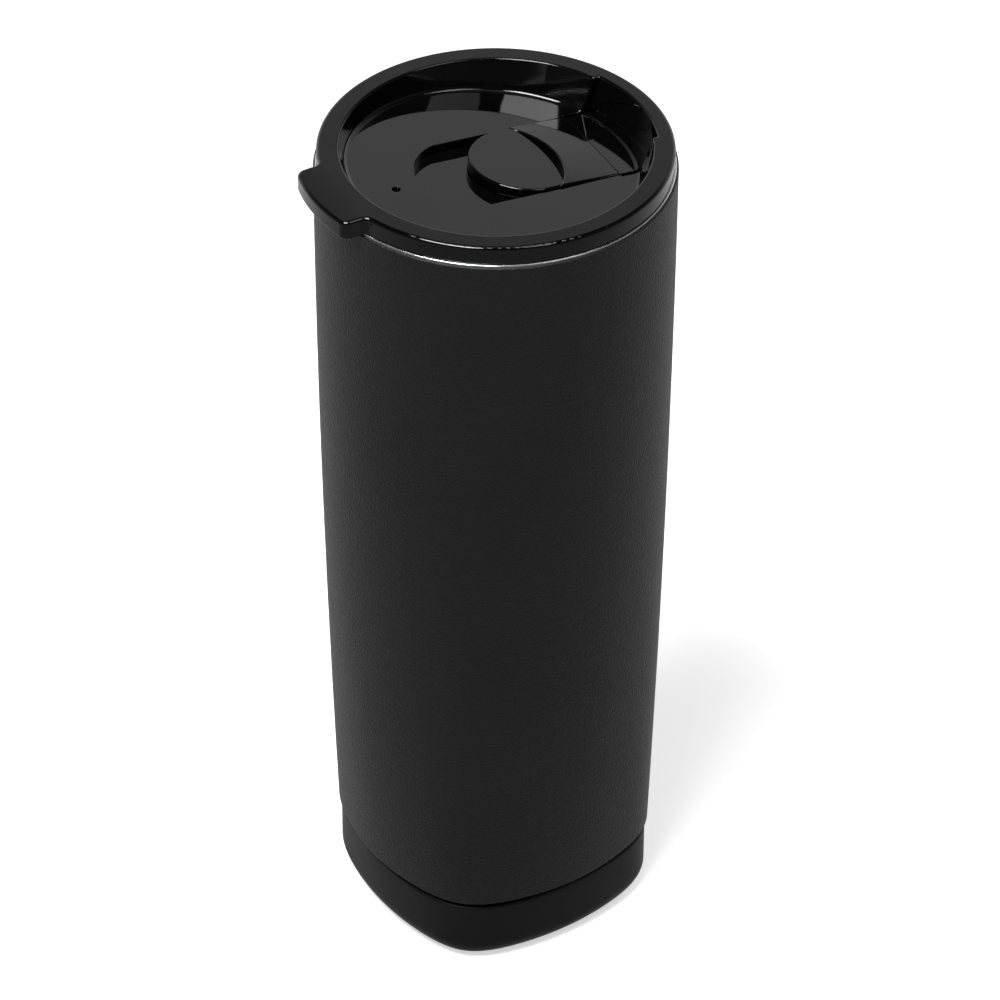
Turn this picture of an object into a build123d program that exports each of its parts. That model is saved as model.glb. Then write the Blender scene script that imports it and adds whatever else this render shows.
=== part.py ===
"""Insulated travel mug with a press-in slider lid.

A double-wall vacuum vessel, round at the mouth and a soft rounded square at the foot, stands
in a rubber boot. A moulded lid presses into the mouth and carries a sliding closure.

Millimetres. +Z is up and the origin is at the centre of the foot, on the table. +X points from
the lid's thumb tab to its drinking side.
"""

from build123d import *
from math import cos, hypot, radians, sin, sqrt
import os

# --- overall -------------------------------------------------------------------------------
MUG_HEIGHT = 205.8          # table to the lid's top face
LIP_TOP = 201.5             # mouth of the steel vessel
LIP_THICKNESS = 0.5
BOOT_TOP = 16.6
REVEAL_GAP = 1.0            # dark line between boot and shell

# --- rounded-square outline: radius = mean - swing*cos(4a) + flatten*cos(8a) ---------------
OUTLINE_POINTS = 16
TWIST = 6.2                 # the lid is turned this far from the square's side, degrees

SHELL_TOP_RADIUS = 39.75
SHELL_FOOT_RADIUS = 35.05   # mean radius at the shell's foot
FOOT_SWING = 1.55
FOOT_FLATTEN = 0.30
SHELL_CURVE = 2.1           # how late the shell leaves the round for the square
SHELL_SECTIONS = 7
SHELL_WALL = 0.8
SHELL_TOP = LIP_TOP - LIP_THICKNESS
SHELL_FOOT = BOOT_TOP + REVEAL_GAP
NECK_INSET = 4.0            # the neck inside the boot
NECK_FOOT = 4.2

BOOT_RADIUS = 34.15
BOOT_SWING = 1.90
BOOT_FOOT_FILLET = 5.4
BOOT_TOP_FILLET = 1.0
BOOT_FLOOR = 3.4
FOAM_INSET = 1.0
GRIP_GROOVES = (13.0, 17.5, 22.0)
GRIP_GROOVE_WIDTH = 1.4
GRIP_GROOVE_DEPTH = 0.6

# --- inner vessel ---------------------------------------------------------------------------
LIP_OUTER_RADIUS = 39.3
MOUTH_RADIUS = 37.4
LINER_WALL = 0.6
MOUTH_DEPTH = 15.5          # straight part that the lid's gasket bears on
LINER_TOP_RADIUS = 36.0
LINER_FOOT_RADIUS = 30.1
LINER_SEAM = 30.0           # weld between liner and its bottom
BOTTOM_CORNER = 16.0
BOTTOM_DOME = 2.0
MOUTH_STEP = 3.5            # slope from the mouth down to the drinking wall
LIP_FILLET = 0.2
FOIL_THICKNESS = 0.1
FOIL_LOW = 34.0
FOIL_HIGH = 178.0

# --- outer bottom, pump-out port and getter --------------------------------------------------
BOTTOM_DISC_Z = 5.0
DIMPLE_RADIUS = 6.0
DIMPLE_DEPTH = 1.6
PORT_RADIUS = 0.8
PORT_Z = BOTTOM_DISC_Z + DIMPLE_DEPTH
BEAD_RADIUS = 2.4
BEAD_HEIGHT = 0.9
GETTER_X = 19.0
GETTER_Z = BOTTOM_DISC_Z + SHELL_WALL
GETTER_RADIUS = 4.0
GETTER_DEPTH = 2.4
GETTER_WALL = 0.3

# --- lid -------------------------------------------------------------------------------------
LID_RADIUS = 39.0
LID_EDGE_FILLET = 0.8
RIM_INNER_RADIUS = 34.2
TRAY_DRAFT = 0.35           # tray wall leans in by this much per millimetre of depth
TRAY_CENTRE_Z = 200.0
TRAY_SLOPE = 4.5            # tray falls towards the drinking side, degrees
TRAY_THICKNESS = 1.8
PLUG_RADIUS = 37.0
PLUG_FOOT = 187.0
PLUG_FOOT_RADIUS = 36.5
PLUG_BORE = 32.6
PLUG_STEP = 193.4
PLUG_CHAMFER = 0.8
GASKET_LOW = 188.9
GASKET_HIGH = 192.6
GASKET_SEAT = 34.8

SKIRT_FILLET = 0.3
RIM_INNER_FILLET = 0.5
RIM_INNER_LIMIT = 36.0       # edges nearer the axis than this bound the rim's inner side
TRAY_FILLET = 1.2
RECESS_FILLET = 0.4

GASKET_PLAY = 0.1
GASKET_BODY_RADIUS = 36.3
GASKET_MIDDLE = (GASKET_LOW + GASKET_HIGH) / 2
FIN_RADIUS = 37.32
FIN_RISE = 0.7
FIN_TIP = 0.3

TAB_RADIUS = 44.1
TAB_HALF_WIDTH = 11.5
TAB_DROP = 0.35             # how far the tab's tip sits below the rim
TAB_BEND = 37.0             # where the tab's top starts to fall
TAB_START = 29.0            # the tab's outline starts under the rim
TAB_ROOT_FILLET = 1.8
TAB_CORNER_FILLET = 2.2

CHANNEL_HALF_WIDTH = 12.87
CHANNEL_DEPTH = 2.4
CHANNEL_FLOOR = 1.6
CHANNEL_END_RADIUS = 13.45
CHANNEL_END = -18.5
RECESS_HALF_WIDTH = 13.2
RECESS_TOP_RADIUS = 35.3
RECESS_DRAFT = 0.17
LEDGE_START = 24.0          # sip ledge, level with the tray, between the slider and the wall
LEDGE_HALF_WIDTH = 12.35
LEDGE_HEIGHT = 0.2
LEDGE_FILLET = 0.4

VENT_X = -24.4
VENT_RADIUS = 1.0
DRINK_X = 16.9
DRINK_WIDTH = 7.0
DRINK_LENGTH = 15.0

# --- slider, measured in the tray's own plane ------------------------------------------------
TRAVEL = 12.8
RUNNING_GAP = 0.12
SLIDER_SINK = 1.9           # slider's underside below the tray
SLIDER_FOOT_FILLET = 0.3
SLIDER_HALF_WIDTH = 12.6
SLIDER_START = -5.25
SLIDER_END = 23.75
SLIDER_END_RADIUS = 12.8
PAD_HEIGHT = 0.6            # pad's top above the tray
PAD_FILLET = 0.45
PAD_END = 12.1              # pad's end on the centre line, where the thumb groove starts
PAD_END_RADIUS = 40.0
GROOVE_END = 14.3           # groove's far wall on the centre line
GROOVE_END_RADIUS = 18.0
TONGUE_START = 7.75
TONGUE_SHOULDER = 0.75      # tongue's sides above the tray at its start
TONGUE_CROWN = 0.35         # rise of its arched top at its start
TIP_SHOULDER = 0.2
TIP_CROWN = 0.15
TONGUE_FOOT = -1.2
PLATE_OVERLAP = 0.2         # how far joined pieces of the slider run into each other
TONGUE_FILLET = 0.35
SEAL_LENGTH = 18.6
SEAL_WIDTH = 10.6
SEAL_POCKET = 0.5           # leaves a web under the thumb groove
SEAL_GAP = 0.05
SEAL_FILLET = 0.3
STEM_X = 9.4
STEM_LENGTH = 2.4
STEM_WIDTH = 4.0
STEM_FOOT = -6.2
CLIP_TOP = -4.1
CLIP_LENGTH = 7.4
CLIP_WIDTH = 9.0
CLIP_THICKNESS = 1.2
CLIP_CORNER = 1.2
CLIP_FIT = 0.05
BARB = 0.5
BARB_TOP = CLIP_TOP - CLIP_THICKNESS - CLIP_FIT

os.makedirs("parts", exist_ok=True)


def outline_points(mean, swing, flatten):
    """Points round a rounded square whose sides are turned by TWIST."""
    points = []
    for index in range(OUTLINE_POINTS):
        angle = 360 * index / OUTLINE_POINTS
        wave = radians(4 * angle)
        radius = mean - swing * cos(wave) + flatten * cos(2 * wave)
        turned = radians(angle + TWIST)
        points.append((radius * cos(turned), radius * sin(turned)))
    return points


def rounded_square(height, mean, swing, flatten):
    """A closed rounded-square face at a height."""
    with BuildSketch(Plane.XY.offset(height)) as section:
        with BuildLine():
            Spline(*outline_points(mean, swing, flatten), periodic=True)
        make_face()
    return section.sketch


def shell_share(height):
    """0 at the round mouth, 1 at the square foot."""
    drop = (SHELL_TOP - height) / (SHELL_TOP - SHELL_FOOT)
    return drop**SHELL_CURVE


def shell_section(height, inset):
    """The shell's section at a height, drawn in by an inset."""
    share = shell_share(height)
    mean = SHELL_TOP_RADIUS + (SHELL_FOOT_RADIUS - SHELL_TOP_RADIUS) * share - inset
    return rounded_square(height, mean, FOOT_SWING * share, FOOT_FLATTEN * share)


def section_heights(low):
    """Heights of the shell's sections, from low up to the mouth."""
    return [low + (SHELL_TOP - low) * step / (SHELL_SECTIONS - 1) for step in range(SHELL_SECTIONS)]


def finish(builder, label):
    """Label a finished sub-part and write it."""
    builder.part.label = label
    export_step(builder.part, f"parts/{label}.step")


def dome_rise(distance, span, rise):
    """Height of a shallow spherical dome at a distance from its axis, over its rim."""
    radius = (span**2 + rise**2) / (2 * rise)
    return sqrt(radius**2 - distance**2) - (radius - rise)


def liner_outside(height):
    """Outside radius of the liner's tapered wall at a height."""
    top = LIP_TOP - MOUTH_DEPTH - MOUTH_STEP
    share = (height - LINER_SEAM) / (top - LINER_SEAM)
    return LINER_FOOT_RADIUS + (LINER_TOP_RADIUS - LINER_FOOT_RADIUS) * share + LINER_WALL


NECK_MEAN = SHELL_FOOT_RADIUS - NECK_INSET
STANDING = (Align.CENTER, Align.CENTER, Align.MIN)

# --- vacuum vessel ---------------------------------------------------------------------------

with BuildPart() as outer_shell:
    loft([shell_section(height, 0) for height in section_heights(SHELL_FOOT)])
    fillet(outer_shell.faces().sort_by(Axis.Z)[0].edges(), 1.0)
    fillet(outer_shell.faces().sort_by(Axis.Z)[-1].edges(), 0.4)
    space_heights = section_heights(SHELL_FOOT + SHELL_WALL)
    loft([shell_section(height, SHELL_WALL) for height in space_heights], mode=Mode.SUBTRACT)
    add(rounded_square(NECK_FOOT, NECK_MEAN, FOOT_SWING, FOOT_FLATTEN))
    extrude(amount=SHELL_FOOT - NECK_FOOT)
    add(rounded_square(NECK_FOOT, NECK_MEAN - SHELL_WALL, FOOT_SWING, FOOT_FLATTEN))
    extrude(amount=SHELL_FOOT + 2 * SHELL_WALL - NECK_FOOT, mode=Mode.SUBTRACT)
finish(outer_shell, "outer_shell")

with BuildPart() as outer_bottom:
    add(rounded_square(BOTTOM_DISC_Z, NECK_MEAN - SHELL_WALL, FOOT_SWING, FOOT_FLATTEN))
    extrude(amount=SHELL_WALL)
    with BuildSketch(Plane.XZ):
        with BuildLine():
            Polyline(
                (0, BOTTOM_DISC_Z + DIMPLE_DEPTH),
                (DIMPLE_RADIUS, BOTTOM_DISC_Z + DIMPLE_DEPTH),
                (DIMPLE_RADIUS + DIMPLE_DEPTH, BOTTOM_DISC_Z),
                (DIMPLE_RADIUS + DIMPLE_DEPTH + 2, BOTTOM_DISC_Z),
                (DIMPLE_RADIUS + DIMPLE_DEPTH + 2, BOTTOM_DISC_Z + SHELL_WALL),
                (DIMPLE_RADIUS + DIMPLE_DEPTH, BOTTOM_DISC_Z + SHELL_WALL),
                (DIMPLE_RADIUS, BOTTOM_DISC_Z + SHELL_WALL + DIMPLE_DEPTH),
                (0, BOTTOM_DISC_Z + SHELL_WALL + DIMPLE_DEPTH),
                close=True,
            )
        make_face()
    revolve(axis=Axis.Z)
    with BuildSketch(Plane.XZ):
        with BuildLine():
            Polyline(
                (0, BOTTOM_DISC_Z),
                (DIMPLE_RADIUS + DIMPLE_DEPTH, BOTTOM_DISC_Z),
                (DIMPLE_RADIUS, BOTTOM_DISC_Z + DIMPLE_DEPTH),
                (0, BOTTOM_DISC_Z + DIMPLE_DEPTH),
                close=True,
            )
        make_face()
    revolve(axis=Axis.Z, mode=Mode.SUBTRACT)
    with Locations((0, 0, BOTTOM_DISC_Z + DIMPLE_DEPTH)):
        Cylinder(PORT_RADIUS, 4 * SHELL_WALL, mode=Mode.SUBTRACT)
finish(outer_bottom, "outer_bottom")

# A bead of solder glass fills the pump-out port and domes over it.
with BuildPart() as port_seal:
    with BuildSketch(Plane.XZ):
        with BuildLine():
            Polyline(
                (0, PORT_Z + SHELL_WALL),
                (PORT_RADIUS, PORT_Z + SHELL_WALL),
                (PORT_RADIUS, PORT_Z),
                (BEAD_RADIUS, PORT_Z),
            )
            ThreePointArc(
                (BEAD_RADIUS, PORT_Z),
                (BEAD_RADIUS / 2, PORT_Z - dome_rise(BEAD_RADIUS / 2, BEAD_RADIUS, BEAD_HEIGHT)),
                (0, PORT_Z - BEAD_HEIGHT),
            )
            Line((0, PORT_Z - BEAD_HEIGHT), (0, PORT_Z + SHELL_WALL))
        make_face()
    revolve(axis=Axis.Z)
finish(port_seal, "port_seal")

# --- inner vessel ----------------------------------------------------------------------------

with BuildPart() as inner_liner:
    with BuildSketch(Plane.XZ):
        with BuildLine():
            Polyline(
                (LINER_FOOT_RADIUS, LINER_SEAM),
                (LINER_TOP_RADIUS, LIP_TOP - MOUTH_DEPTH - MOUTH_STEP),
                (MOUTH_RADIUS, LIP_TOP - MOUTH_DEPTH),
                (MOUTH_RADIUS, LIP_TOP),
                (LIP_OUTER_RADIUS, LIP_TOP),
                (LIP_OUTER_RADIUS, SHELL_TOP),
                (MOUTH_RADIUS + LINER_WALL, SHELL_TOP),
                (MOUTH_RADIUS + LINER_WALL, LIP_TOP - MOUTH_DEPTH),
                (LINER_TOP_RADIUS + LINER_WALL, LIP_TOP - MOUTH_DEPTH - MOUTH_STEP),
                (LINER_FOOT_RADIUS + LINER_WALL, LINER_SEAM),
                close=True,
            )
        make_face()
    revolve(axis=Axis.Z)
    lip_edges = inner_liner.edges().filter_by(GeomType.CIRCLE).group_by(Axis.Z)[-1]
    fillet(lip_edges.sort_by(SortBy.RADIUS)[-1], LIP_FILLET)
    fillet(lip_edges.sort_by(SortBy.RADIUS)[0], LIP_FILLET)
finish(inner_liner, "inner_liner")

with BuildPart() as inner_bottom:
    with BuildSketch(Plane.XZ):
        with BuildLine():
            span = LINER_FOOT_RADIUS - BOTTOM_CORNER
            corner = (span, LINER_SEAM)
            dome_foot = LINER_SEAM - BOTTOM_CORNER
            dome_half = dome_foot + dome_rise(span / 2, span, BOTTOM_DOME)
            Line((LINER_FOOT_RADIUS, LINER_SEAM), (LINER_FOOT_RADIUS + LINER_WALL, LINER_SEAM))
            CenterArc(corner, BOTTOM_CORNER + LINER_WALL, -90, 90)
            ThreePointArc(
                (span, dome_foot - LINER_WALL),
                (span / 2, dome_half - LINER_WALL),
                (0, dome_foot + BOTTOM_DOME - LINER_WALL),
            )
            Line((0, dome_foot + BOTTOM_DOME - LINER_WALL), (0, dome_foot + BOTTOM_DOME))
            ThreePointArc((0, dome_foot + BOTTOM_DOME), (span / 2, dome_half), (span, dome_foot))
            CenterArc(corner, BOTTOM_CORNER, -90, 90)
        make_face()
    revolve(axis=Axis.Z)
finish(inner_bottom, "inner_bottom")

# Copper foil wrapped on the liner keeps radiant heat in.
with BuildPart() as radiation_foil:
    with BuildSketch(Plane.XZ):
        with BuildLine():
            Polyline(
                (liner_outside(FOIL_LOW), FOIL_LOW),
                (liner_outside(FOIL_HIGH), FOIL_HIGH),
                (liner_outside(FOIL_HIGH) + FOIL_THICKNESS, FOIL_HIGH),
                (liner_outside(FOIL_LOW) + FOIL_THICKNESS, FOIL_LOW),
                close=True,
            )
        make_face()
    revolve(axis=Axis.Z)
finish(radiation_foil, "radiation_foil")

# The getter soaks up stray gas: a pellet in a steel cup welded inside the outer bottom.
with BuildPart() as getter_cup:
    with Locations((GETTER_X, 0, GETTER_Z)):
        Cylinder(GETTER_RADIUS + GETTER_WALL, GETTER_DEPTH, align=STANDING)
    with Locations((GETTER_X, 0, GETTER_Z + GETTER_WALL)):
        Cylinder(GETTER_RADIUS, GETTER_DEPTH, align=STANDING, mode=Mode.SUBTRACT)
finish(getter_cup, "getter_cup")

with BuildPart() as getter_pellet:
    with Locations((GETTER_X, 0, GETTER_Z + GETTER_WALL)):
        Cylinder(GETTER_RADIUS, GETTER_DEPTH - GETTER_WALL, align=STANDING)
    chamfer(getter_pellet.faces().sort_by(Axis.Z)[-1].edges(), 0.3)
finish(getter_pellet, "getter_pellet")

# --- foot ------------------------------------------------------------------------------------

with BuildPart() as base_boot:
    add(rounded_square(0, BOOT_RADIUS, BOOT_SWING, FOOT_FLATTEN))
    extrude(amount=BOOT_TOP)
    fillet(base_boot.faces().sort_by(Axis.Z)[0].edges(), BOOT_FOOT_FILLET)
    fillet(base_boot.faces().sort_by(Axis.Z)[-1].edges(), BOOT_TOP_FILLET)
    add(rounded_square(BOOT_FLOOR, NECK_MEAN, FOOT_SWING, FOOT_FLATTEN))
    extrude(amount=BOOT_TOP, mode=Mode.SUBTRACT)
    with BuildSketch():
        for radius in GRIP_GROOVES:
            Circle(radius + GRIP_GROOVE_WIDTH / 2)
            Circle(radius - GRIP_GROOVE_WIDTH / 2, mode=Mode.SUBTRACT)
    extrude(amount=GRIP_GROOVE_DEPTH, mode=Mode.SUBTRACT)
finish(base_boot, "base_boot")

# A foam disc, sticky on both faces, bonds the boot to the vessel.
with BuildPart() as boot_foam_pad:
    add(rounded_square(BOOT_FLOOR, NECK_MEAN - FOAM_INSET, FOOT_SWING, FOOT_FLATTEN))
    extrude(amount=NECK_FOOT - BOOT_FLOOR)
finish(boot_foam_pad, "boot_foam_pad")

# --- lid -------------------------------------------------------------------------------------


def channel_outline(half_width, end_radius, end):
    """The slide channel's outline on the tray: parallel sides and a round blind end."""
    with BuildSketch() as channel:
        with Locations((end + end_radius, 0)):
            Circle(end_radius)
            Rectangle(2 * LID_RADIUS, 2 * end_radius, align=(Align.MIN, Align.CENTER))
        Rectangle(4 * LID_RADIUS, 2 * half_width, mode=Mode.INTERSECT)
    return channel.sketch


def cone(radius_at_top, draft, low, high):
    """A solid cone about the mug's axis, radius_at_top wide at the rim."""
    with BuildPart() as solid:
        with BuildSketch(Plane.XZ):
            with BuildLine():
                Polyline(
                    (0, low),
                    (radius_at_top - draft * (MUG_HEIGHT - low), low),
                    (radius_at_top - draft * (MUG_HEIGHT - high), high),
                    (0, high),
                    close=True,
                )
            make_face()
        revolve(axis=Axis.Z)
    return solid.part


TRAY = Plane(
    origin=(0, 0, TRAY_CENTRE_Z),
    x_dir=(cos(radians(TRAY_SLOPE)), 0, -sin(radians(TRAY_SLOPE))),
    z_dir=(sin(radians(TRAY_SLOPE)), 0, cos(radians(TRAY_SLOPE))),
)

with BuildPart() as tray_space:
    add(cone(RIM_INNER_RADIUS, TRAY_DRAFT, PLUG_FOOT, MUG_HEIGHT + 1))
    split(bisect_by=TRAY, keep=Keep.TOP)
    fillet(tray_space.edges().filter_by(GeomType.ELLIPSE), TRAY_FILLET)

# The ledge that the drink runs over, with a narrow groove down each side.
with BuildPart() as sip_ledge:
    with BuildSketch(TRAY.offset(-CHANNEL_DEPTH)):
        with Locations((LEDGE_START, 0)):
            Rectangle(LID_RADIUS, 2 * LEDGE_HALF_WIDTH, align=(Align.MIN, Align.CENTER))
    extrude(amount=CHANNEL_DEPTH + LEDGE_HEIGHT)
    ledge_top = sip_ledge.faces().sort_by(Axis(TRAY.origin, TRAY.z_dir))[-1]
    fillet(ledge_top.edges().sort_by(Axis.X)[:-1], LEDGE_FILLET)

with BuildPart() as channel_space:
    channel = channel_outline(CHANNEL_HALF_WIDTH, CHANNEL_END_RADIUS, CHANNEL_END)
    add(TRAY.offset(-CHANNEL_DEPTH) * channel)
    extrude(amount=20, dir=TRAY.z_dir)
    with BuildSketch(TRAY.offset(-CHANNEL_DEPTH)):
        with Locations((LEDGE_START, 0)):
            Rectangle(LID_RADIUS, 2 * RECESS_HALF_WIDTH, align=(Align.MIN, Align.CENTER))
    extrude(amount=20)
    add(cone(RECESS_TOP_RADIUS, RECESS_DRAFT, PLUG_FOOT, MUG_HEIGHT + 1), mode=Mode.INTERSECT)
    add(sip_ledge.part, mode=Mode.SUBTRACT)

with BuildPart() as underside_space:
    with BuildSketch(Plane.XY.offset(PLUG_FOOT)):
        Circle(PLUG_BORE)
    extrude(amount=LID_RADIUS)
    split(bisect_by=TRAY.offset(-TRAY_THICKNESS), keep=Keep.BOTTOM)
    add(
        TRAY
        * channel_outline(
            CHANNEL_HALF_WIDTH + CHANNEL_FLOOR,
            CHANNEL_END_RADIUS + CHANNEL_FLOOR,
            CHANNEL_END - CHANNEL_FLOOR,
        )
    )
    extrude(amount=CHANNEL_DEPTH + CHANNEL_FLOOR, dir=-TRAY.z_dir, mode=Mode.SUBTRACT)


def distance_from_axis(edge):
    """Distance of an edge's middle from the mug's axis."""
    middle = edge @ 0.5
    return hypot(middle.X, middle.Y)


with BuildPart() as lid_shell:
    with BuildSketch(Plane.XY.offset(LIP_TOP)) as rim:
        Circle(TAB_RADIUS)
        with Locations((-TAB_START, 0)):
            Rectangle(
                LID_RADIUS,
                2 * TAB_HALF_WIDTH,
                align=(Align.MAX, Align.CENTER),
                mode=Mode.INTERSECT,
            )
        Circle(LID_RADIUS)
        fillet(rim.vertices().sort_by(Axis.X)[:2], TAB_CORNER_FILLET)
        roots = rim.vertices().filter_by(lambda v: abs(hypot(v.X, v.Y) - LID_RADIUS) < 0.01)
        fillet(roots, TAB_ROOT_FILLET)
    extrude(amount=MUG_HEIGHT - LIP_TOP)
    # The tab's top falls away from the rim in a shallow curve.
    with BuildSketch(Plane.XZ):
        with BuildLine():
            fall = Spline(
                (-TAB_BEND, MUG_HEIGHT),
                (-TAB_RADIUS, MUG_HEIGHT - TAB_DROP),
                tangents=((-1, 0), (-TAB_RADIUS + TAB_BEND, -2 * TAB_DROP)),
            )
            Polyline(fall @ 1, (-TAB_RADIUS, MUG_HEIGHT + 1), (-TAB_BEND, MUG_HEIGHT + 1), fall @ 0)
        make_face()
    extrude(amount=TAB_HALF_WIDTH + TAB_ROOT_FILLET, both=True, mode=Mode.SUBTRACT)
    edge_loop = lid_shell.edges().filter_by(lambda e: (e @ 0.5).Z > MUG_HEIGHT - 2 * TAB_DROP)
    fillet(edge_loop.filter_by(Axis.Y, reverse=True), LID_EDGE_FILLET)
    fillet(lid_shell.faces().sort_by(Axis.Z)[0].edges(), SKIRT_FILLET)
    with BuildSketch(Plane.XZ):
        with BuildLine():
            Polyline(
                (0, PLUG_FOOT),
                (PLUG_FOOT_RADIUS - PLUG_CHAMFER, PLUG_FOOT),
                (PLUG_FOOT_RADIUS, PLUG_FOOT + PLUG_CHAMFER),
                (PLUG_FOOT_RADIUS, GASKET_LOW),
                (GASKET_SEAT, GASKET_LOW),
                (GASKET_SEAT, GASKET_HIGH),
                (PLUG_FOOT_RADIUS, GASKET_HIGH),
                (PLUG_RADIUS, PLUG_STEP),
                (PLUG_RADIUS, LIP_TOP + 1),
                (0, LIP_TOP + 1),
                close=True,
            )
        make_face()
    revolve(axis=Axis.Z)
    add(tray_space.part, mode=Mode.SUBTRACT)
    add(channel_space.part, mode=Mode.SUBTRACT)
    add(underside_space.part, mode=Mode.SUBTRACT)
    rim_edges = lid_shell.edges().filter_by(lambda e: (e @ 0.5).Z > MUG_HEIGHT - 0.01)
    fillet(rim_edges.filter_by(lambda e: distance_from_axis(e) < RIM_INNER_LIMIT), RIM_INNER_FILLET)
    corners = lid_shell.edges().filter_by(GeomType.HYPERBOLA).sort_by(SortBy.LENGTH)
    fillet(corners[-4:], RECESS_FILLET)
    with BuildSketch(TRAY.offset(-CHANNEL_DEPTH - CHANNEL_FLOOR)):
        with Locations((DRINK_X, 0)):
            SlotOverall(DRINK_LENGTH, DRINK_WIDTH, rotation=90)
        with Locations((STEM_X - TRAVEL / 2, 0)):
            Rectangle(TRAVEL + STEM_LENGTH + 4 * RUNNING_GAP, STEM_WIDTH + 4 * RUNNING_GAP)
        with Locations((VENT_X, 0)):
            Circle(VENT_RADIUS)
    extrude(amount=CHANNEL_DEPTH + CHANNEL_FLOOR, mode=Mode.SUBTRACT)
finish(lid_shell, "lid_shell")

# A soft ring in the plug's groove; its two fins bear on the vessel's mouth.
with BuildPart() as lid_gasket:
    with BuildSketch(Plane.XZ):
        with BuildLine():
            Polyline(
                (GASKET_SEAT, GASKET_LOW + GASKET_PLAY),
                (GASKET_BODY_RADIUS, GASKET_LOW + GASKET_PLAY),
                (FIN_RADIUS, GASKET_LOW + GASKET_PLAY + FIN_RISE),
                (FIN_RADIUS, GASKET_LOW + GASKET_PLAY + FIN_RISE + FIN_TIP),
                (GASKET_BODY_RADIUS, GASKET_MIDDLE),
                (FIN_RADIUS, GASKET_MIDDLE + FIN_RISE),
                (FIN_RADIUS, GASKET_MIDDLE + FIN_RISE + FIN_TIP),
                (GASKET_BODY_RADIUS, GASKET_HIGH - GASKET_PLAY),
                (GASKET_SEAT, GASKET_HIGH - GASKET_PLAY),
                close=True,
            )
        make_face()
    revolve(axis=Axis.Z)
finish(lid_gasket, "lid_gasket")

# --- slider ----------------------------------------------------------------------------------

SLIDER_FOOT = TRAY.offset(-SLIDER_SINK)


def slider_outline():
    """The slider seen from above: a round pad end and a square tongue end."""
    with BuildSketch() as plate:
        with Locations((SLIDER_START + SLIDER_END_RADIUS, 0)):
            Circle(SLIDER_END_RADIUS)
            Rectangle(
                SLIDER_END - SLIDER_START - SLIDER_END_RADIUS,
                2 * SLIDER_END_RADIUS,
                align=(Align.MIN, Align.CENTER),
            )
        Rectangle(4 * LID_RADIUS, 2 * SLIDER_HALF_WIDTH, mode=Mode.INTERSECT)
    return plate.sketch


def tongue_section(along):
    """A section across the tongue: flat sides up to the shoulders and a slightly arched top."""
    share = (along - TONGUE_START) / (SLIDER_END - TONGUE_START)
    shoulder = TONGUE_SHOULDER + (TIP_SHOULDER - TONGUE_SHOULDER) * share
    crown = TONGUE_CROWN + (TIP_CROWN - TONGUE_CROWN) * share
    left = (-SLIDER_HALF_WIDTH, shoulder)
    right = (SLIDER_HALF_WIDTH, shoulder)
    place = Plane(TRAY.from_local_coords((along, 0, 0)), x_dir=(0, 1, 0), z_dir=TRAY.x_dir)
    with BuildSketch(place) as section:
        with BuildLine():
            Polyline(left, (-SLIDER_HALF_WIDTH, TONGUE_FOOT), (SLIDER_HALF_WIDTH, TONGUE_FOOT), right)
            ThreePointArc(right, (0, shoulder + crown), left)
        make_face()
    return section.sketch


def is_tongue_rim(edge):
    """True of the tongue's top edges along its sides and its curved start."""
    middle = TRAY.to_local_coords(edge @ 0.5)
    return middle.Z > TIP_SHOULDER and middle.X < SLIDER_END - TONGUE_FILLET


def up_to_arc(end, radius):
    """A round solid whose rim crosses the centre line at end, standing on the slider's underside."""
    with BuildPart(SLIDER_FOOT) as solid:
        with Locations((end - radius, 0, 0)):
            Cylinder(radius, 2 * SLIDER_SINK, align=STANDING)
    return solid.part


# The tongue runs from the thumb groove down to its tip.
with BuildPart() as tongue:
    loft([tongue_section(TONGUE_START), tongue_section(SLIDER_END)])
    add(up_to_arc(GROOVE_END, GROOVE_END_RADIUS), mode=Mode.SUBTRACT)
    fillet(tongue.edges().filter_by(is_tongue_rim), TONGUE_FILLET)

# The flat pad, with its round end and rounded top edge.
with BuildPart() as pad:
    add(SLIDER_FOOT * slider_outline())
    extrude(amount=PAD_HEIGHT + SLIDER_SINK, dir=TRAY.z_dir)
    pad_top = pad.faces().sort_by(Axis(TRAY.origin, TRAY.z_dir))[-1]
    fillet(pad_top.edges().sort_by(Axis.X)[:-1], PAD_FILLET)
    add(up_to_arc(PAD_END, PAD_END_RADIUS), mode=Mode.INTERSECT)

with BuildPart() as slider:
    add(SLIDER_FOOT * slider_outline())
    extrude(amount=SLIDER_SINK + TONGUE_FOOT + PLATE_OVERLAP, dir=TRAY.z_dir)
    add(pad.part)
    add(tongue.part)
    underside = slider.faces().sort_by(Axis(TRAY.origin, TRAY.z_dir))[0]
    fillet(underside.edges(), SLIDER_FOOT_FILLET)
    # Pocket for the seal.
    with BuildSketch(SLIDER_FOOT):
        with Locations((DRINK_X, 0)):
            SlotOverall(SEAL_LENGTH, SEAL_WIDTH, rotation=90)
    extrude(amount=SEAL_POCKET, mode=Mode.SUBTRACT)
    # The stem passes through the channel floor; its barbs hold the clip.
    with BuildSketch(TRAY.offset(STEM_FOOT)):
        with Locations((STEM_X, 0)):
            Rectangle(STEM_LENGTH, STEM_WIDTH)
    extrude(amount=PLATE_OVERLAP - STEM_FOOT - SLIDER_SINK)
    with BuildSketch(TRAY * Plane.XZ):
        with BuildLine():
            Polyline(
                (STEM_X - STEM_LENGTH / 2 - BARB, BARB_TOP),
                (STEM_X + STEM_LENGTH / 2 + BARB, BARB_TOP),
                (STEM_X + STEM_LENGTH / 2, STEM_FOOT),
                (STEM_X - STEM_LENGTH / 2, STEM_FOOT),
                close=True,
            )
        make_face()
    extrude(amount=STEM_WIDTH / 2, both=True)
finish(slider, "slider")

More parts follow.
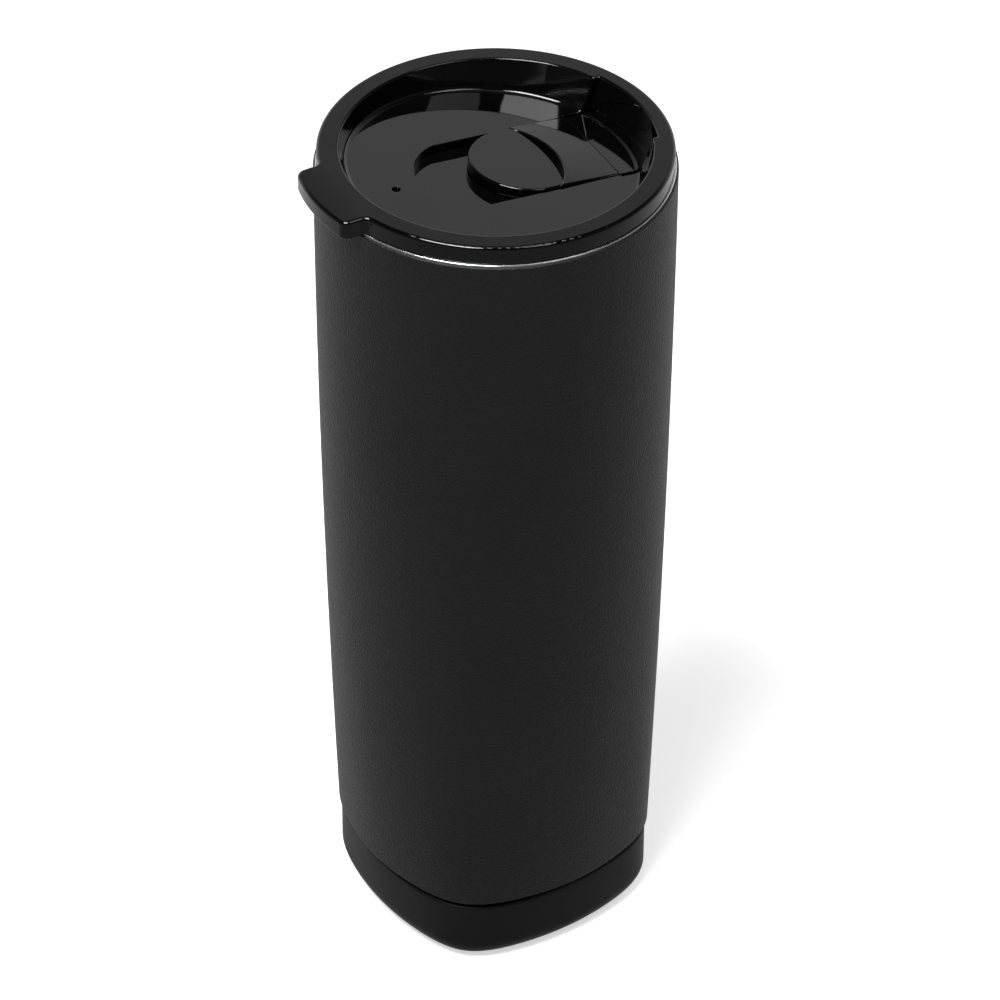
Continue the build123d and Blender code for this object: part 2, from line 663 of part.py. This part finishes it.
with BuildPart() as slider_seal:
    with BuildSketch(TRAY.offset(SEAL_GAP - CHANNEL_DEPTH)):
        with Locations((DRINK_X, 0)):
            SlotOverall(SEAL_LENGTH, SEAL_WIDTH, rotation=90)
    extrude(amount=SEAL_POCKET - SLIDER_SINK + CHANNEL_DEPTH - SEAL_GAP)
    seal_foot = slider_seal.faces().sort_by(Axis(TRAY.origin, TRAY.z_dir))[0]
    fillet(seal_foot.edges(), SEAL_FILLET)
finish(slider_seal, "slider_seal")

# A snap-on plate under the channel floor keeps the slider in its channel.
with BuildPart() as slider_clip:
    with BuildSketch(TRAY.offset(CLIP_TOP)):
        with Locations((STEM_X, 0)):
            RectangleRounded(CLIP_LENGTH, CLIP_WIDTH, CLIP_CORNER)
            Rectangle(STEM_LENGTH + 2 * CLIP_FIT, STEM_WIDTH + 2 * CLIP_FIT, mode=Mode.SUBTRACT)
    extrude(amount=-CLIP_THICKNESS)
finish(slider_clip, "slider_clip")
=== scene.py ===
"""Insulated travel mug: camera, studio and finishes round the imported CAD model."""

from math import cos, pi, radians, sin

import bmesh
import bpy
from mathutils import Matrix, Vector

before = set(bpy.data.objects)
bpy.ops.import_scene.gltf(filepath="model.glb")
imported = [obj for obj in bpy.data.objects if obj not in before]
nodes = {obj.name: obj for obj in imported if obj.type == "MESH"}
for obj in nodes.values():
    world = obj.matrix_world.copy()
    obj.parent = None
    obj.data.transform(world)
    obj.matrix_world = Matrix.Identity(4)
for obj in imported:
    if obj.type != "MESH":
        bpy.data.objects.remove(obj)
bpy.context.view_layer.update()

scene = bpy.context.scene

# --- camera: the photograph's viewing angle --------------------------------------------------

CAMERA_PLACE = (-0.4678, -0.8725, 0.8740)
CAMERA_HEADING = radians(-28.274)
CAMERA_TILT = radians(52.293)
CAMERA_ROLL = radians(0.324)

camera_data = bpy.data.cameras.new("camera")
camera_data.sensor_width = 36.0
camera_data.lens = 198.2
camera_data.clip_end = 20.0
camera = bpy.data.objects.new("camera", camera_data)
scene.collection.objects.link(camera)
scene.camera = camera
camera.matrix_world = (
    Matrix.Translation(CAMERA_PLACE)
    @ Matrix.Rotation(CAMERA_HEADING, 4, "Z")
    @ Matrix.Rotation(CAMERA_TILT, 4, "X")
    @ Matrix.Rotation(CAMERA_ROLL, 4, "Z")
)

# --- node helpers ----------------------------------------------------------------------------


class Shader:
    """A material's node tree, built a few nodes at a time."""

    def __init__(self, name):
        self.material = bpy.data.materials.new(name)
        self.material.use_nodes = True
        self.tree = self.material.node_tree
        self.surface = self.tree.nodes["Principled BSDF"]

    def node(self, kind, **settings):
        """Add a node; settings name its attributes."""
        made = self.tree.nodes.new(kind)
        for key, value in settings.items():
            setattr(made, key, value)
        return made

    def link(self, source, target):
        """Join an output socket to an input socket."""
        self.tree.links.new(source, target)

    def place(self, stretch=(1, 1, 1)):
        """Object coordinates in metres, stretched along each axis."""
        coordinates = self.node("ShaderNodeTexCoord")
        mapping = self.node("ShaderNodeMapping")
        mapping.inputs["Scale"].default_value = stretch
        self.link(coordinates.outputs["Object"], mapping.inputs["Vector"])
        return mapping.outputs["Vector"]

    def noise(self, size, detail=2.0, stretch=(1, 1, 1), roughness=0.5):
        """Noise whose features are about size metres across."""
        made = self.node("ShaderNodeTexNoise")
        made.inputs["Scale"].default_value = 1 / size
        made.inputs["Detail"].default_value = detail
        made.inputs["Roughness"].default_value = roughness
        self.link(self.place(stretch), made.inputs["Vector"])
        return made.outputs["Fac"]

    def spread(self, source, low, high, start=0.0, end=1.0):
        """Map a value from start..end to low..high."""
        made = self.node("ShaderNodeMapRange")
        made.inputs["From Min"].default_value = start
        made.inputs["From Max"].default_value = end
        made.inputs["To Min"].default_value = low
        made.inputs["To Max"].default_value = high
        self.link(source, made.inputs["Value"])
        return made.outputs["Result"]

    def colours(self, source, dark, light, start=0.3, end=0.7):
        """Run from a dark to a light colour as a value goes from start to end."""
        made = self.node("ShaderNodeValToRGB")
        made.color_ramp.elements[0].position = start
        made.color_ramp.elements[0].color = (*dark, 1)
        made.color_ramp.elements[1].position = end
        made.color_ramp.elements[1].color = (*light, 1)
        self.link(source, made.inputs["Fac"])
        return made.outputs["Color"]

    def bump(self, source, height, normal=None):
        """Bump of a height in metres, on top of an earlier bump if one is given."""
        made = self.node("ShaderNodeBump")
        made.inputs["Strength"].default_value = 1.0
        made.inputs["Distance"].default_value = height
        self.link(source, made.inputs["Height"])
        if normal is not None:
            self.link(normal, made.inputs["Normal"])
        return made.outputs["Normal"]

    def soft_edges(self, radius):
        """Normals that round every edge by a radius in metres."""
        made = self.node("ShaderNodeBevel", samples=6)
        made.inputs["Radius"].default_value = radius
        return made.outputs["Normal"]

    def set(self, **values):
        """Set or link the surface's inputs; underscores stand for spaces."""
        for key, value in values.items():
            socket = self.surface.inputs[key.replace("_", " ")]
            if isinstance(value, bpy.types.NodeSocket):
                self.link(value, socket)
            else:
                socket.default_value = value


def gloss_plastic(name):
    """Glossy black moulding: softened edges, faint flow waves, dust-fine haze."""
    shader = Shader(name)
    haze = shader.noise(0.012, 4.0)
    waves = shader.noise(0.022, 1.0)
    normal = shader.bump(waves, 0.00005, shader.soft_edges(0.0002))
    shader.set(
        Base_Color=shader.colours(haze, (0.0010, 0.0010, 0.0011), (0.0018, 0.0018, 0.0019)),
        Roughness=shader.spread(haze, 0.03, 0.07, 0.3, 0.7),
        IOR=1.5,
        Normal=normal,
    )
    return shader


TRAY_SLOPE = radians(4.5)   # the tray falls towards the drinking side
TRAY_HEIGHT = 0.2           # on the mug's axis
GROOVE_DEPTH = 0.001        # the thumb groove's floor below the tray
FLOOR_MARGIN = 0.0002       # counts as that floor within this much
# Specular level of the groove floor: painted shade that darkens the thumb groove.
GROOVE_PAINTED_SHADE_GLOSS = 0.05
PLASTIC_GLOSS = 0.5


def paint_groove_shade(shader):
    """Painted shade: take the gloss off the floor of the slider's thumb groove, which is parallel to
    the tray, so that the groove reads dark.
    """
    above = shader.node("ShaderNodeVectorMath", operation="DOT_PRODUCT")
    above.inputs[1].default_value = (sin(TRAY_SLOPE), 0, cos(TRAY_SLOPE))
    shader.link(shader.place(), above.inputs[0])
    groove_shade_mask = shader.node("ShaderNodeMath", operation="COMPARE")
    groove_shade_mask.inputs[1].default_value = TRAY_HEIGHT * cos(TRAY_SLOPE) - GROOVE_DEPTH
    groove_shade_mask.inputs[2].default_value = FLOOR_MARGIN
    shader.link(above.outputs["Value"], groove_shade_mask.inputs[0])
    # Painted shade: the groove floor loses its gloss and so looks dark.
    shader.set(Specular_IOR_Level=shader.spread(groove_shade_mask.outputs["Value"], PLASTIC_GLOSS, GROOVE_PAINTED_SHADE_GLOSS))


def powder_coat():
    """Black powder coat: orange-peel texture with a satin sheen."""
    shader = Shader("powder_coat")
    peel = shader.noise(0.00045, 1.0)
    drift = shader.noise(0.03, 2.0)
    normal = shader.bump(peel, 0.00021)
    shader.set(
        Base_Color=shader.colours(drift, (0.0050, 0.0050, 0.0052), (0.0062, 0.0062, 0.0064)),
        Roughness=shader.spread(peel, 0.44, 0.56, 0.3, 0.7),
        IOR=1.42,
        Normal=normal,
    )
    return shader.material


def boot_rubber():
    """Smooth matt black rubber."""
    shader = Shader("boot_rubber")
    grain = shader.noise(0.0003, 2.0)
    drift = shader.noise(0.02, 3.0)
    shader.set(
        Base_Color=shader.colours(drift, (0.0028, 0.0028, 0.0028), (0.0040, 0.0040, 0.0042)),
        Roughness=shader.spread(drift, 0.45, 0.55, 0.3, 0.7),
        IOR=1.33,
        Normal=shader.bump(grain, 0.000006),
    )
    return shader.material


def brushed_steel():
    """Stainless steel with fine turned lines round the axis."""
    shader = Shader("brushed_steel")
    lines = shader.noise(0.0006, 3.0, stretch=(0.05, 0.05, 6.0))
    drift = shader.noise(0.02, 3.0)
    shader.set(
        Base_Color=shader.colours(drift, (0.68, 0.68, 0.69), (0.80, 0.80, 0.81)),
        Metallic=1.0,
        Roughness=shader.spread(lines, 0.17, 0.26, 0.3, 0.7),
        Normal=shader.bump(lines, 0.000002, shader.soft_edges(0.0003)),
    )
    return shader.material


def plain(name, dark, light, roughness, metallic=0.0, size=0.002, bump=0.00001):
    """A finish with mottled colour and roughness."""
    shader = Shader(name)
    mottle = shader.noise(size, 3.0)
    shader.set(
        Base_Color=shader.colours(mottle, dark, light),
        Metallic=metallic,
        Roughness=shader.spread(mottle, roughness * 0.8, roughness * 1.2, 0.3, 0.7),
        Normal=shader.bump(mottle, bump),
    )
    return shader.material


lid_gloss = gloss_plastic("lid_gloss")
slider_gloss_and_groove_shade = gloss_plastic("slider_gloss_and_groove_shade")
# The slider's thumb groove gets painted shade.
paint_groove_shade(slider_gloss_and_groove_shade)
steel = brushed_steel()
silicone = plain("silicone", (0.03, 0.03, 0.031), (0.045, 0.045, 0.046), 0.5)
finishes = {
    "lid_shell": lid_gloss.material,
    "slider": slider_gloss_and_groove_shade.material,
    "outer_shell": powder_coat(),
    "base_boot": boot_rubber(),
    "inner_liner": steel,
    "inner_bottom": steel,
    "outer_bottom": steel,
    "getter_cup": steel,
    "getter_pellet": plain("getter_metal", (0.10, 0.10, 0.10), (0.2, 0.2, 0.2), 0.7, 0.6, 0.0004),
    "radiation_foil": plain("copper_foil", (0.75, 0.36, 0.22), (0.85, 0.45, 0.30), 0.25, 1.0, 0.01),
    "port_seal": plain("solder_glass", (0.20, 0.21, 0.22), (0.32, 0.33, 0.34), 0.2),
    "boot_foam_pad": plain("foam", (0.70, 0.69, 0.65), (0.85, 0.84, 0.80), 0.9, 0.0, 0.0008, 0.0001),
    "lid_gasket": silicone,
    "slider_seal": silicone,
    "slider_clip": plain("clip_plastic", (0.010, 0.010, 0.010), (0.016, 0.016, 0.016), 0.45),
}
for name, finish in finishes.items():
    for material_slot in nodes[name].material_slots:
        material_slot.material = finish

# --- studio ----------------------------------------------------------------------------------

BACK = 61.7                 # azimuth of the backdrop, behind the mug in the photograph
AIM_HEIGHT = 0.15           # the lights point at the axis at this height


def from_angles(azimuth, elevation):
    """Unit vector at an azimuth and elevation in degrees."""
    flat = cos(radians(elevation))
    return Vector((flat * cos(radians(azimuth)), flat * sin(radians(azimuth)), sin(radians(elevation))))


def softbox(name, azimuth, elevation, distance, size, radiance):
    """A rectangular area light that faces the mug; its face has the given radiance."""
    data = bpy.data.lights.new(name, "AREA")
    data.shape = "RECTANGLE"
    data.size, data.size_y = size
    data.energy = radiance * pi * size[0] * size[1]
    light = bpy.data.objects.new(name, data)
    scene.collection.objects.link(light)
    outward = from_angles(azimuth, elevation)
    light.matrix_world = (-outward).to_track_quat("-Z", "Y").to_matrix().to_4x4()
    light.matrix_world.translation = outward * distance + Vector((0, 0, AIM_HEIGHT))
    light.visible_camera = False


class Surroundings(Shader):
    """The studio round the mug: pale in the background, dim where the photographer stands."""

    def __init__(self, world):
        self.tree = world.node_tree
        self.surface = self.tree.nodes["Background"]
        self.surface.inputs["Color"].default_value = (1, 1, 1, 1)
        self.direction = self.node("ShaderNodeTexCoord").outputs["Generated"]

    def maths(self, operation, first, second):
        """A maths node on two values or sockets."""
        made = self.node("ShaderNodeMath", operation=operation)
        for socket, value in zip(made.inputs, (first, second)):
            if isinstance(value, bpy.types.NodeSocket):
                self.link(value, socket)
            else:
                socket.default_value = value
        return made.outputs["Value"]

    def facing(self, azimuth, elevation=0):
        """Cosine between the direction and a fixed one."""
        made = self.node("ShaderNodeVectorMath", operation="DOT_PRODUCT")
        made.inputs[1].default_value = from_angles(azimuth, elevation)
        self.link(self.direction, made.inputs[0])
        return made.outputs["Value"]

    def ramp(self, source, stops):
        """A value that follows (position, value) stops."""
        made = self.node("ShaderNodeValToRGB")
        elements = made.color_ramp.elements
        while len(elements) < len(stops):
            elements.new(1.0)
        for element, (position, value) in zip(elements, stops):
            element.position = position
            element.color = (value, value, value, 1)
        self.link(source, made.inputs["Fac"])
        return made.outputs["Color"]

    def mix(self, share, first, second):
        """A value that goes from first to second as the share goes from 0 to 1."""
        made = self.node("ShaderNodeMix", data_type="FLOAT")
        self.link(share, made.inputs[0])
        self.link(first, made.inputs[2])
        if isinstance(second, bpy.types.NodeSocket):
            self.link(second, made.inputs[3])
        else:
            made.inputs[3].default_value = second
        return made.outputs[0]


studio = bpy.data.worlds.new("studio")
scene.world = studio
studio.use_nodes = True
around = Surroundings(studio)
# The backdrop is brightest at the horizon and stands only at the back; a dim ceiling closes the top.
height = around.facing(0, 90)
backdrop = around.ramp(
    height,
    [(0.0, 1.0), (0.25, 1.0), (0.50, 0.62), (0.57, 0.38), (0.75, 0.12), (1.0, 0.1)],
)
sides = around.spread(around.facing(BACK), 0.0, 1.0, -1.0, 1.0)
backness = around.ramp(sides, [(0.0, 0.05), (0.5, 0.12), (0.72, 0.18), (0.87, 1.0)])
ceiling = around.spread(height, 0.0, 0.45, 0.93, 1.0)
upper = around.maths("ADD", around.maths("MULTIPLY", backdrop, backness), ceiling)
# The paper below the horizon, from the dim photographer's side to the bright back.
lower = around.ramp(
    sides,
    [(0.25, 0.24), (0.45, 0.34), (0.57, 0.43), (0.72, 0.62), (0.82, 0.80), (1.0, 0.85)],
)
is_low = around.spread(height, 1.0, 0.0, -0.02, 0.02)
seen = around.mix(is_low, upper, lower)
# The camera itself sees plain white.
is_camera = around.node("ShaderNodeLightPath").outputs["Is Camera Ray"]
around.link(around.mix(is_camera, seen, 1.0), around.surface.inputs["Strength"])

softbox("key", -156, 65, 1.5, (0.68, 0.55), 25)
softbox("fill", -58, 62, 1.5, (0.60, 0.50), 3.6)
softbox("card", -145, 4.3, 2.0, (0.55, 0.12), 0.4)

floor_mesh = bpy.data.meshes.new("floor")
builder = bmesh.new()
bmesh.ops.create_grid(builder, x_segments=8, y_segments=8, size=3.0)
builder.to_mesh(floor_mesh)
builder.free()
floor = bpy.data.objects.new("floor", floor_mesh)
scene.collection.objects.link(floor)
floor_finish = Shader("floor_paper")
floor_finish.set(Base_Color=(0.85, 0.85, 0.85, 1), Roughness=0.9, Specular_IOR_Level=0.0)
floor_finish.set(Emission_Color=(1, 1, 1, 1), Emission_Strength=0.6)
floor_mesh.materials.append(floor_finish.material)
floor.visible_glossy = False

scene.view_settings.view_transform = "Standard"
